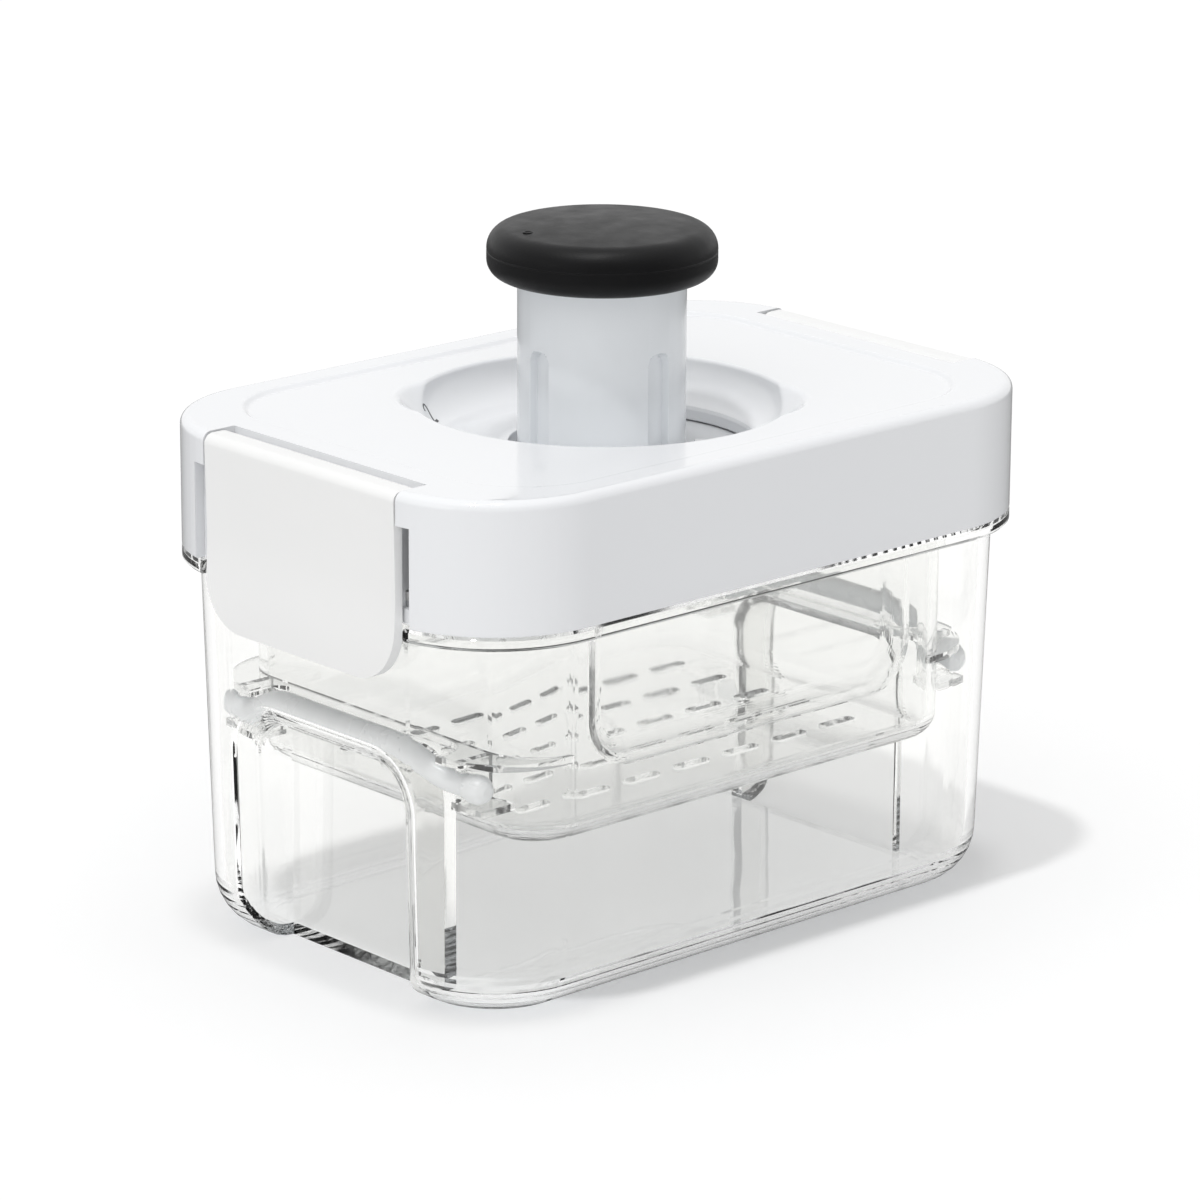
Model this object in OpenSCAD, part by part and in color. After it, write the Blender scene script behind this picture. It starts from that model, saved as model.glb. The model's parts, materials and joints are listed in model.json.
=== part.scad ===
// Tofu press. A clear basket hangs on two silicone bands inside a clear drip
// container. The white lid is held by a latch at each end and carries a plunger
// that is pushed down and turned.
// X is the long way, Y the short way, Z up. The origin is the middle of the base.

/* [Overall] */
// Length over the lid and the container's rim
press_l = 186; // [182:1:192]
// Width over the lid and the container's rim
press_w = 126.5; // [124:0.5:130]
// Corner radius of the lid and the rim, in plan
corner_r = 31.5; // [31:0.5:33]

/* [Container] */
// Height of the rim's top face, where the lid sits
rim_z = 94; // [93:0.5:95]
// Height of the rim flange
rim_t = 3.2; // [2.6:0.1:3.6]
// How far the rim stands out from the wall
rim_out = 4.3; // [4.2:0.1:4.6]
// How much narrower each wall is at the base
wall_lean = 2.6; // [1.5:0.1:3]
// Wall thickness of the container
wall_t = 2.4; // [2:0.1:2.6]
// Radius between the walls and the base
base_fillet = 13; // [10:1:14]
// Width of the arched recess in each end
alcove_w = 54; // [46:1:56]
// Height of the recess
alcove_h = 56; // [50:1:57]
// Distance from the middle to the back wall of the recess
alcove_x = 73.5; // [73:0.5:76]
// Corner radius of the arch
alcove_r = 9; // [6:1:14]
// Radius of the rounded edge round the mouth of the recess
mouth_r = 6; // [4:0.5:6]

/* [Basket] */
// Length of the basket over its walls
basket_l = 138; // [134:1:138]
// Width of the basket over its walls
basket_w = 104; // [100:1:104]
// Corner radius of the basket
basket_r = 14; // [12:1:15]
// Height of the basket's underside above the table
basket_z = 39.3; // [36:0.1:42]
// Wall thickness of the basket
basket_t = 2.2; // [1.8:0.1:2.4]
// Width of the inset panel in each long side
panel_w = 97; // [80:1:98]
// Height of the bottom of the inset panel
panel_z = 57.5; // [52:0.5:62]
// Depth of the inset panel
panel_in = 3; // [1.5:0.5:3]
// Corner radius of the inset panel
panel_r = 10; // [8:1:12]
// Radius of the two bends that lead into the inset panel
bend_r = 4; // [3:0.5:5]
// Height of the end flange that bears on the bands
flange_z = 59.2; // [59:0.1:59.6]
// Thickness of the silicone band
band_d = 5.5; // [4.5:0.1:5.6]

/* [Lid] */
// Height of the lid's border
lid_z = 125.3; // [125:0.1:126]
// Wall thickness of the lid
lid_t = 2.6; // [2.2:0.1:2.7]
// Depth of the panel inside the lid's border
panel_drop = 0.9; // [0.4:0.1:1.2]
// Radius of the round well at its mouth
well_r = 44.4; // [44:0.1:45]
// Depth of the well below the lid's panel
well_d = 10.4; // [10:0.1:10.6]
// Radius of the two lobes cut in the well's floor
lobe_r = 36.5; // [30:0.5:37]
// Half angle of each lobe
lobe_half_a = 38; // [25:1:42]
// Half width of a latch
latch_half_w = 33.6; // [30:0.1:33.6]
// Thickness of a latch
latch_t = 3; // [2.6:0.1:3]
// Height of a latch's lower edge
latch_z = 79.4; // [78:0.1:84]
// Radius of a latch's lower corners
latch_r = 13; // [8:1:15]

/* [Plunger] */
// Outer radius of the column
column_r = 20; // [19.5:0.1:20]
// Height of the knob's underside when the plunger is up
knob_z = 154; // [152:0.5:156]
// Radius of the knob
knob_r = 27.25; // [26:0.25:29]
// Height of the knob without its crown
knob_h = 12; // [11:0.5:14]
// Height of the crown in the middle of the knob
knob_crown = 1; // [0.5:0.1:2]
// How far the plunger is pushed down
stroke = 27; // [20:1:27]
// Width of the upright channels in the column
channel_w = 5.6; // [5:0.1:6]
// Depth of the channels
channel_d = 1.8; // [1.5:0.1:2]

/* [Hidden] */
$fn = 96;

clear_plastic = [0.86, 0.90, 0.92, 0.35];
gloss_white = [0.95, 0.95, 0.96];
matt_white = [0.92, 0.92, 0.90];
silicone = [0.85, 0.86, 0.86, 0.8];
steel = [0.72, 0.73, 0.75];

half_l = press_l / 2;
half_w = press_w / 2;
// middle of the corner arcs of everything that follows the rim
cx = half_l - corner_r;
cy = half_w - corner_r;
rim_low = rim_z - rim_t;
wall_r = corner_r - rim_out;
// rounded edges run this far past the face they meet
overrun = 0.06;
spigot_t = 1.8;
spigot_h = 3.4;
// a wall's radius at height z, from the corner arc's middle
function lean_r(z) = wall_r - wall_lean * (rim_low - z) / rim_low;
foot_r = lean_r(base_fillet) - base_fillet;
lean_a = atan(wall_lean / rim_low);

bx = basket_l / 2 - basket_r;
by = basket_w / 2 - basket_r;
basket_fillet = 6;
basket_top = 98.6;
lip_h = 1.8;
lip_out = 1.6;

panel_top = lid_z - panel_drop;
well_floor = panel_top - well_d;
well_arc_r = well_r - well_d;
floor_t = 2.9;
hole_r = 22;
notch_a = 137;
notch_mid = 28.35;
notch_r = 20.15;
notch_low_r = 12;
notch_z = 115.5;
backing = 2.4;
boss_mid = 41.5;
boss_r = 3.2;
boss_z = 107.6;
pilot_r = 1.25;

liner_z = 98.9;
liner_t = 2;
skirt_out = 24.3;
skirt_in = 22.4;

// latch and its recess, measured from the middle of the press
hinge_x = half_l - 5.2;
hinge_z = lid_z - 4.2;
knuckle_r = 3.9;
pin_r = 1.5;
latch_face = half_l + 0.4;
latch_back = latch_face - latch_t;
recess_x = latch_back - 0.8;
recess_half_w = 38.2;
recess_top = 117.5;
pocket_half_w = latch_half_w + 0.6;
pocket_x = hinge_x - 4.2;
pocket_z = hinge_z - 4.4;

collar_top = well_floor - floor_t - 0.3;
collar_t = 2.8;
collar_r = 37.6;
collar_bore = column_r + 0.3;
sleeve_r = 23.3;
sleeve_z = 97.6;
tab_z = 104;
tab_top = collar_top - 1.5;

tube_r = 16.4;
tube_z = 94.5;
channel_top = collar_top + stroke + 0.5;
web_z = 140.6;
web_t = 2.6;
foot_disc_r = 22.4;
core_r = 24.8;
core_z = knob_z + 0.3;
core_top = knob_z + 9.8;
screw_ring = 27.5;

plate_l = 128.6;
plate_w = 91.6;
plate_r = 12;
plate_z = 88.8;
plate_t = 3;
hub_z = 94.5;
hub_r = 31;
rib_t = 2;

function arc(x, z, r, a0, a1, n = 8) =
    [for (i = [0:n]) let (a = a0 + (a1 - a0) * i / n) [x + r * cos(a), z + r * sin(a)]];

function tail(list) = [for (i = [1:len(list) - 1]) list[i]];

// A profile of (radius, height) carried round a rounded rectangle whose corner
// arcs have their middles at (x, y)
module carried_round(x, y) {
    for (sx = [0, 1], sy = [0, 1])
        mirror([sx, 0, 0]) mirror([0, sy, 0]) translate([x, y, 0])
            rotate_extrude(angle = 90) children();
    for (sx = [0, 1])
        mirror([sx, 0, 0]) translate([x, y, 0]) rotate([90, 0, 0])
            linear_extrude(2 * y) children();
    for (sy = [0, 1])
        mirror([0, sy, 0]) translate([-x, y, 0]) rotate([90, 0, 90])
            linear_extrude(2 * x) children();
}

// A profile of (radius, depth) carried round an upside-down U whose corner arcs
// have their middles at (-x, 0) and (x, 0)
module carried_u(x, leg) {
    for (s = [0, 1])
        mirror([s, 0, 0]) translate([x, 0, 0]) {
            rotate_extrude(angle = 90) children();
            rotate([90, 0, 0]) linear_extrude(leg) children();
        }
    translate([-x, 0, 0]) rotate([90, 0, 90]) linear_extrude(2 * x) children();
}

module core_block(x, y, z0, z1) {
    translate([-x, -y, z0]) cube([2 * x, 2 * y, z1 - z0]);
}

module rounded_rect(hx, hy, r) {
    translate([-hx, -hy + r]) square([2 * hx, 2 * (hy - r)]);
    translate([-hx + r, -hy]) square([2 * (hx - r), 2 * hy]);
    for (sx = [-1, 1], sy = [-1, 1])
        translate([sx * (hx - r), sy * (hy - r)]) circle(r);
}

module rounded_slab(hx, hy, r, z0, z1) {
    translate([0, 0, z0]) linear_extrude(z1 - z0) rounded_rect(hx, hy, r);
}

module ring(r_out, r_in, z0, z1) {
    difference() {
        translate([0, 0, z0]) cylinder(r = r_out, h = z1 - z0);
        translate([0, 0, z0 - 1]) cylinder(r = r_in, h = z1 - z0 + 2);
    }
}

// Places its children at four even angles
module four_round(radius, first = 45) {
    for (i = [0:3]) rotate([0, 0, first + 90 * i]) translate([radius, 0, 0]) children();
}

module on_both_ends() {
    children();
    mirror([1, 0, 0]) children();
}

// A flat outline in (Y, Z) pushed along X from x0 to x1
module along_x(x0, x1) {
    translate([x0, 0, 0]) rotate([90, 0, 90]) linear_extrude(x1 - x0) children();
}

// A flat outline in (X, Z) pushed along Y, as wide as 2 * half each side of the middle
module along_y(half) {
    translate([0, half, 0]) rotate([90, 0, 0]) linear_extrude(2 * half) children();
}

// ---- container ----

function container_outside() = concat([[0, 0]], arc(foot_r, base_fillet, base_fillet, -90, 0),
    [[wall_r, rim_low]]);

module container_wall() {
    inner = base_fillet - wall_t;
    polygon(concat(container_outside(),
        [[corner_r - 0.6, rim_low], [corner_r, rim_low + 0.6], [corner_r, rim_z - 0.6],
        [corner_r - 0.6, rim_z], [wall_r - wall_t + spigot_t, rim_z],
        [wall_r - wall_t + spigot_t, rim_z + spigot_h], [wall_r - wall_t, rim_z + spigot_h],
        [wall_r - wall_t, rim_low]],
        arc(foot_r, base_fillet, inner, 0, -90), [[0, wall_t]]));
}

module arch(extra) {
    r = alcove_r + extra;
    hw = alcove_w / 2 + extra;
    top = alcove_h + extra;
    translate([-hw, -1]) square([2 * hw, top - r + 1]);
    translate([-hw + r, -1]) square([2 * (hw - r), top + 1]);
    for (s = [-1, 1]) translate([s * (hw - r), top - r]) circle(r);
}

// Lays a profile of (radius, depth) round the mouth of the recess, with its depth
// measured square to the leaning wall
module round_the_mouth() {
    translate([cx + lean_r(base_fillet), 0, base_fillet]) rotate([0, lean_a, 0])
        translate([0, 0, alcove_h - alcove_r - base_fillet]) rotate([90, 0, 90])
            carried_u(alcove_w / 2 - alcove_r, alcove_h) children();
}

module mouth_edge() {
    middle = alcove_r + mouth_r - overrun;
    polygon(concat([[alcove_r - 1, overrun - mouth_r]],
        arc(middle, overrun - mouth_r, mouth_r, 180, 90), [[middle, 2], [alcove_r - 1, 2]]));
}

// Keeps the wall as thick behind the rounded edge as elsewhere
module mouth_backing() {
    middle = alcove_r + mouth_r;
    polygon(concat([[alcove_r + 1, -mouth_r]],
        arc(middle, -mouth_r, mouth_r - wall_t + overrun, 180, 90),
        [[middle, -wall_t / 2], [alcove_r + 1, -wall_t / 2]]));
}

module outer_container() {
    rim_notch_x = latch_back - 0.35;
    color(clear_plastic) difference() {
        union() {
            carried_round(cx, cy) container_wall();
            core_block(cx, cy, 0, wall_t);
            intersection() {
                on_both_ends() {
                    along_x(alcove_x - wall_t, half_l) arch(wall_t);
                    round_the_mouth() mouth_backing();
                }
                union() {
                    carried_round(cx, cy) polygon(concat(container_outside(), [[0, rim_low]]));
                    core_block(cx, cy, 0, rim_low);
                }
            }
        }
        on_both_ends() along_x(alcove_x, half_l + 1) arch(0);
        on_both_ends() round_the_mouth() mouth_edge();
        on_both_ends() translate([rim_notch_x, -latch_half_w - 2.6, rim_low - 1])
            cube([10, 2 * latch_half_w + 5.2, rim_t + 1.5]);
    }
}

// ---- basket and bands ----

module basket_wall() {
    inner = basket_fillet - basket_t;
    mid = basket_r - basket_fillet;
    z = basket_z;
    polygon(concat([[0, z]], arc(mid, z + basket_fillet, basket_fillet, -90, 0),
        [[basket_r, basket_top - lip_h], [basket_r + lip_out, basket_top - lip_h],
        [basket_r + lip_out, basket_top], [basket_r - basket_t, basket_top]],
        arc(mid, z + basket_fillet, inner, 0, -90), [[0, z + basket_t]]));
}

// The wall bends in and back again round the inset panel. As (radius, depth) for
// the wall's outer face, and with skin = basket_t for its inner face
function panel_bends(skin) =
    let (deep = panel_in + overrun, turn = acos(1 - deep / (2 * bend_r)),
        half = bend_r * sin(turn))
    concat(arc(panel_r - half, bend_r, bend_r + skin, -90, turn - 90),
        tail(arc(panel_r + half, deep - bend_r, bend_r - skin, 90 + turn, 90)));

// The solid between those bends and a flat face at depth back, up to height top
module inset_panel(skin, back, top) {
    x = panel_w / 2 - panel_r;
    z = panel_z + panel_r;
    bends = panel_bends(skin);
    edge = bends[len(bends) - 1][0];
    for (sy = [0, 1]) mirror([0, sy, 0]) translate([0, panel_in - basket_w / 2, z])
        rotate([90, 0, 0]) mirror([0, 1, 0]) {
            carried_u(x, top - z)
                polygon(concat([[0, -skin]], bends, [[edge, back], [0, back]]));
            translate([-x, z - top, -skin]) cube([2 * x, top - z, back + skin]);
        }
}

module drain_slots() {
    slot_half = 4;
    for (x = [-48:16:48], y = [-30:15:30]) translate([x, y, basket_z - 1]) {
        translate([-slot_half, -1.5, 0]) cube([2 * slot_half, 3, basket_t + 2]);
        for (s = [-1, 1]) translate([s * slot_half, 0, 0]) cylinder(r = 1.5, h = basket_t + 2);
    }
}

band_x = 76.5;
band_z = 54.8;
ear_t = 1.8;
ear_x = 80;
lug_z = 48.6;
web_y = 38.5;

// The flange at each end is wide over the band's ends and narrow over the recess
module end_flange() {
    translate([0, 0, flange_z]) linear_extrude(ear_t) difference() {
        rounded_rect(ear_x, 52.9, 20);
        square([114, 120], center = true);
        rounded_rect(basket_l / 2 - 1, basket_w / 2 - 1, basket_r - 1);
        for (s = [-1, 1]) translate([s * 95, 0]) rounded_rect(24.4, 33, 6);
    }
}

// Below each corner of the flange: a forked web that holds the band's end, and a shelf
module band_hook() {
    shelf_x0 = basket_l / 2 - 1;
    translate([shelf_x0, 36, lug_z]) cube([78 - shelf_x0, 10, ear_t]);
    difference() {
        translate([shelf_x0, web_y - 1, lug_z]) cube([78 - shelf_x0, 2, flange_z - lug_z]);
        translate([band_x, web_y + 2, band_z]) rotate([90, 0, 0])
            cylinder(r = band_d / 2 + 0.3, h = 4);
        translate([band_x, web_y - 2, band_z - band_d / 2 - 0.3])
            cube([4, 4, band_d + 0.6]);
    }
}

module inner_basket() {
    color(clear_plastic) difference() {
        union() {
            carried_round(bx, by) basket_wall();
            core_block(bx, by, basket_z, basket_z + basket_t);
            inset_panel(basket_t, panel_in - basket_t / 2, basket_top - lip_h);
            end_flange();
            for (sx = [0, 1], sy = [0, 1]) mirror([sx, 0, 0]) mirror([0, sy, 0]) band_hook();
        }
        inset_panel(0, panel_in + 1, basket_top - lip_h - 1.6);
        drain_slots();
    }
}

// Half of a band's route as (X, Y, Z), from the middle of the end to the bead
band_route = [[81, 0, 61.4], [81, 6, 61.4], [80.9, 12, 61.4], [80.6, 18, 61.3],
    [80.2, 21.5, 60.8], [79.7, 25, 59.6], [79, 28.5, 57.9], [78.2, 31.5, 56.3],
    [77.4, 34.5, 55.3], [76.7, 37.5, 54.9], [band_x, 40, band_z], [band_x, 41.2, band_z],
    [band_x, 42.6, band_z], [band_x, 44.2, band_z], [band_x, 45.8, band_z],
    [band_x, 46.8, band_z]];
bead_growth = [0, 0, 0, 0, 0, 0, 0, 0, 0, 0, 0.05, 0.45, 0.65, 0.6, -0.2, -1.6];
band_sides = 12;

module band(side) {
    last = len(band_route) - 1;
    path = concat(
        [for (i = [last:-1:1]) [side * band_route[i][0], -band_route[i][1], band_route[i][2]]],
        [for (p = band_route) [side * p[0], p[1], p[2]]]);
    growth = concat([for (i = [last:-1:1]) bead_growth[i]], bead_growth);
    count = len(path);
    function unit(v) = v / norm(v);
    rings = [for (i = [0:count - 1])
        let (ahead = path[min(i + 1, count - 1)], behind = path[max(i - 1, 0)],
            along = unit(ahead - behind), across = unit(cross(along, [0, 0, 1])),
            up = cross(across, along), r = band_d / 2 + growth[i])
        [for (k = [0:band_sides - 1]) let (a = 360 * k / band_sides)
            path[i] + r * (cos(a) * across + sin(a) * up)]];
    points = concat([for (one = rings) each one], [path[0], path[count - 1]]);
    function spot(i, k) = i * band_sides + k % band_sides;
    sides = [for (i = [0:count - 2], k = [0:band_sides - 1])
        each [[spot(i, k), spot(i + 1, k + 1), spot(i + 1, k)],
            [spot(i, k), spot(i, k + 1), spot(i + 1, k + 1)]]];
    ends = [for (k = [0:band_sides - 1])
        each [[count * band_sides, spot(0, k + 1), spot(0, k)],
            [count * band_sides + 1, spot(count - 1, k), spot(count - 1, k + 1)]]];
    polyhedron(points, concat(sides, ends));
}

module silicone_band_left() {
    color(silicone) band(-1);
}

module silicone_band_right() {
    color(silicone) band(1);
}

// ---- lid ----

function lid_outside() = concat([[corner_r, rim_z + 0.1]],
    arc(corner_r - 2.6, lid_z - 2.3, 2.3, 0, 90), [[0, lid_z]]);

module lid_wall() {
    inner = corner_r - lid_t;
    polygon(concat([[inner, rim_z + 0.1]], lid_outside(),
        [[0, lid_z - 3.4], [inner, lid_z - 3.4]]));
}

module lid_solid() {
    carried_round(cx, cy) polygon(concat([[0, rim_z + 0.1]], lid_outside()));
    core_block(cx, cy, rim_z + 0.1, lid_z);
}

// Walls behind the latch recess, and the trough that the latch's knuckle turns in
module latch_housing() {
    out_y = recess_half_w + 2.2;
    thin_x = recess_x - 1.3;
    thick_x = recess_x - 2.4;
    translate([thin_x, -out_y, rim_z + 0.1]) cube([6, 2 * out_y, 30]);
    translate([thick_x, -out_y, 101.2]) cube([6, 2 * out_y, 23]);
    translate([pocket_x - 2.3, -out_y, pocket_z - 2.3]) cube([14, 2 * out_y, 9.9]);
}

module well_shell() {
    low = well_floor - floor_t;
    outer = well_d + floor_t;
    rotate_extrude() polygon(concat([[hole_r, low]],
        arc(well_arc_r, panel_top, outer, -90, 0), [[well_r, panel_top]],
        arc(well_arc_r, panel_top, well_d, 0, -90), [[hole_r, well_floor]]));
}

module notch_cone(extra, low) {
    rise = panel_top + 0.1 - low;
    rotate([0, 0, notch_a]) for (s = [-1, 1]) translate([s * notch_mid, 0, low])
        cylinder(r1 = notch_low_r + extra, r2 = notch_r + extra, h = rise);
}

module well_lobes() {
    reach = 60;
    side = reach * tan(lobe_half_a);
    translate([0, 0, well_floor - floor_t - 1]) linear_extrude(floor_t + 2.6) intersection() {
        circle(lobe_r);
        for (s = [-1, 1]) polygon([[0, 0], [s * reach, -side], [s * reach, side]]);
    }
}

module lid_cover() {
    color(gloss_white) difference() {
        union() {
            carried_round(cx, cy) lid_wall();
            core_block(cx, cy, lid_z - 3.4, lid_z);
            well_shell();
            notch_cone(backing, notch_z - backing);
            four_round(boss_mid) translate([0, 0, boss_z]) cylinder(r = boss_r, h = 7.6);
            intersection() {
                lid_solid();
                on_both_ends() latch_housing();
            }
        }
        rounded_slab(75.5, 51.5, 20, panel_top, lid_z + 1);
        rotate_extrude() polygon(concat([[0, well_floor]],
            arc(well_arc_r, panel_top, well_d, -90, 0), [[well_r, lid_z + 1], [0, lid_z + 1]]));
        intersection() {
            notch_cone(0, notch_z);
            translate([0, 0, notch_z]) cylinder(r = 60, h = 20);
        }
        translate([0, 0, well_floor - floor_t - 1]) cylinder(r = hole_r, h = floor_t + 2);
        well_lobes();
        four_round(boss_mid) translate([0, 0, boss_z - 1]) cylinder(r = pilot_r, h = 6);
        on_both_ends() {
            translate([recess_x, -recess_half_w, rim_z - 1])
                cube([8, 2 * recess_half_w, recess_top - rim_z + 1]);
            translate([pocket_x, -pocket_half_w, pocket_z])
                cube([14, 2 * pocket_half_w, 14]);
            translate([hinge_x, 37.6, hinge_z]) rotate([90, 0, 0])
                cylinder(r = pin_r + 0.02, h = 75.2);
        }
    }
}

module lid_liner() {
    edge = 26.6;
    color(matt_white) difference() {
        union() {
            rounded_slab(cx + edge, cy + edge, edge, liner_z, liner_z + liner_t);
            carried_round(cx, cy) translate([skirt_in, 93.2])
                square([skirt_out - skirt_in, liner_z - 93.2]);
            ring(26.6, 24.2, liner_z, 103);
        }
        translate([0, 0, liner_z - 1]) cylinder(r = 24.2, h = 6);
    }
}

module lid_seal() {
    color(silicone) carried_round(cx, cy)
        translate([24.9, rim_z + spigot_h + 0.05]) square([1.7, 1.4]);
}

// ---- latches ----

module latch() {
    hook_half = 22;
    corner = 2.4;
    top = hinge_z + knuckle_r;
    difference() {
        union() {
            intersection() {
                along_y(latch_half_w) {
                    translate([hinge_x, hinge_z]) circle(knuckle_r);
                    polygon(concat([[hinge_x, hinge_z - knuckle_r + 0.4], [hinge_x, top]],
                        arc(latch_face - corner, top - corner, corner, 90, 0),
                        [[latch_face, latch_z], [latch_back, latch_z],
                        [latch_back, hinge_z - 4.4]]));
                }
                along_x(hinge_x - 6, latch_face + 1) {
                    translate([-latch_half_w, latch_z + latch_r])
                        square([2 * latch_half_w, 60]);
                    translate([-latch_half_w + latch_r, latch_z])
                        square([2 * (latch_half_w - latch_r), 60]);
                    for (s = [-1, 1])
                        translate([s * (latch_half_w - latch_r), latch_z + latch_r])
                            circle(latch_r);
                }
            }
            along_y(hook_half) polygon([[latch_back + 0.1, rim_low - 4.8],
                [latch_back - 1.2, rim_low - 2.2], [latch_back - 1.2, rim_low - 0.4],
                [latch_back + 0.1, rim_low - 0.4]]);
        }
        translate([hinge_x, latch_half_w + 1, hinge_z]) rotate([90, 0, 0])
            cylinder(r = pin_r + 0.06, h = 2 * latch_half_w + 2);
    }
}

module latch_right() {
    color(matt_white) latch();
}

module latch_left() {
    color(matt_white) mirror([1, 0, 0]) latch();
}

module hinge_pin() {
    translate([hinge_x, 37.4, hinge_z]) rotate([90, 0, 0]) cylinder(r = pin_r, h = 74.8);
}

module hinge_pin_right() {
    color(steel) hinge_pin();
}

module hinge_pin_left() {
    color(steel) mirror([1, 0, 0]) hinge_pin();
}

// ---- turning collar ----

module twist_collar() {
    tab_half = channel_w / 2 - 0.3;
    tab_in = column_r - channel_d + 0.4;
    color([0.82, 0.84, 0.85]) {
        ring(collar_r, collar_bore, collar_top - collar_t, collar_top);
        ring(sleeve_r, collar_bore, sleeve_z, collar_top - collar_t);
        four_round(0, 0) translate([tab_in, -tab_half, tab_z])
            cube([collar_bore - tab_in + 0.5, 2 * tab_half, tab_top - tab_z]);
    }
}

module collar_retainer() {
    color(matt_white) difference() {
        ring(45, sleeve_r + 1.2, boss_z - 2.4, boss_z);
        four_round(boss_mid) translate([0, 0, boss_z - 3]) cylinder(r = 1.6, h = 4);
    }
}

module pan_screw(length, shank_r, head_r, head_h) {
    cylinder(r = shank_r, h = length);
    difference() {
        translate([0, 0, -head_h]) cylinder(r = head_r, h = head_h);
        for (a = [0, 90]) rotate([0, 0, a]) translate([-head_r * 0.6, -0.3, -head_h - 0.1])
            cube([head_r * 1.2, 0.6, head_h * 0.55]);
    }
}

module collar_screws() {
    color(steel) four_round(boss_mid) translate([0, 0, boss_z - 2.4])
        pan_screw(6.6, pilot_r - 0.05, 2.8, 1.9);
}

// ---- plunger ----

module channel_cut() {
    top = channel_top - channel_w / 2;
    floor_r = column_r - channel_d;
    translate([floor_r, -channel_w / 2, tube_z - 1]) cube([5, channel_w, top - tube_z + 1]);
    translate([floor_r, 0, top]) rotate([0, 90, 0]) cylinder(r = channel_w / 2, h = 5);
}

module plunger_column() {
    color(gloss_white) difference() {
        union() {
            ring(column_r, tube_r, tube_z, knob_z);
            translate([0, 0, web_z]) cylinder(r = tube_r + 0.5, h = web_t);
        }
        translate([0, 0, web_z - 1]) cylinder(r = 2.3, h = web_t + 2);
        four_round(0, 0) channel_cut();
    }
}

module column_foot() {
    color(matt_white) {
        translate([0, 0, plate_z + plate_t + 0.2]) cylinder(r = foot_disc_r, h = 2.2);
        ring(tube_r - 0.1, 13.4, hub_z - 0.6, 102);
    }
}

module knob_core() {
    color(gloss_white) difference() {
        union() {
            translate([0, 0, core_z]) cylinder(r = core_r, h = core_top - core_z);
            translate([0, 0, web_z + web_t]) cylinder(r = tube_r - 0.1, h = 12);
        }
        translate([0, 0, web_z]) cylinder(r = 1.75, h = 16);
    }
}

module knob_grip() {
    low_r = 2.2;
    top_r = 3.2;
    side = knob_z + knob_h;
    crown = [for (i = [1:8]) let (r = (knob_r - top_r) * (1 - i / 8))
        [r, side + knob_crown * (1 - pow(r / (knob_r - top_r), 2))]];
    color([0.07, 0.07, 0.075]) rotate_extrude() polygon(concat(
        [[core_r + 0.05, knob_z]], arc(knob_r - low_r, knob_z + low_r, low_r, -90, 0),
        arc(knob_r - top_r, side - top_r, top_r, 0, 90), crown,
        [[0, core_top + 0.05], [core_r + 0.05, core_top + 0.05]]));
}

module knob_screw() {
    color(steel) translate([0, 0, web_z]) pan_screw(13.5, 1.7, 4, 2.6);
}

// ---- pressing plate ----

module press_plate() {
    hx = plate_l / 2;
    hy = plate_w / 2;
    top = plate_z + plate_t;
    rib_h = 3.6;
    color(matt_white) difference() {
        union() {
            rounded_slab(hx, hy, plate_r, plate_z, top);
            difference() {
                rounded_slab(hx, hy, plate_r, top, top + 2.4);
                rounded_slab(hx - rib_t, hy - rib_t, plate_r - rib_t, top - 0.5, top + 3);
            }
            translate([0, 0, top - 0.5]) cylinder(r = hub_r, h = hub_z - top + 0.5);
            for (y = [-24, 0, 24]) translate([-hx + 1, y - rib_t / 2, top - 0.5])
                cube([plate_l - 2, rib_t, rib_h]);
            for (x = [-44, 0, 44]) translate([x - rib_t / 2, -hy + 1, top - 0.5])
                cube([rib_t, plate_w - 2, rib_h]);
        }
        translate([0, 0, top]) cylinder(r = foot_disc_r + 0.4, h = 10);
        translate([0, 0, hub_z]) cylinder(r = hub_r + 0.5, h = 10);
        four_round(screw_ring) translate([0, 0, top]) cylinder(r = pilot_r, h = 4);
    }
}

module swivel_ring() {
    color(matt_white) difference() {
        ring(hub_r, column_r + 0.5, hub_z, hub_z + 1.8);
        four_round(screw_ring) translate([0, 0, hub_z - 1]) cylinder(r = 1.6, h = 4);
    }
}

module swivel_screws() {
    color(steel) four_round(screw_ring) translate([0, 0, hub_z + 1.8]) mirror([0, 0, 1])
        pan_screw(4, pilot_r - 0.05, 2.6, 1.6);
}

outer_container();
inner_basket();
silicone_band_left();
silicone_band_right();
lid_cover();
lid_liner();
lid_seal();
latch_left();
latch_right();
hinge_pin_left();
hinge_pin_right();
twist_collar();
collar_retainer();
collar_screws();
plunger_column();
column_foot();
knob_core();
knob_grip();
knob_screw();
press_plate();
swivel_ring();
swivel_screws();
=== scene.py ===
# Tofu press: camera, light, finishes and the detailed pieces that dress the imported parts.
# Lengths are in millimetres in the dictionaries and metres in Blender.
import json
import math

import bmesh
import bpy
from mathutils import Matrix, Vector

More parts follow.
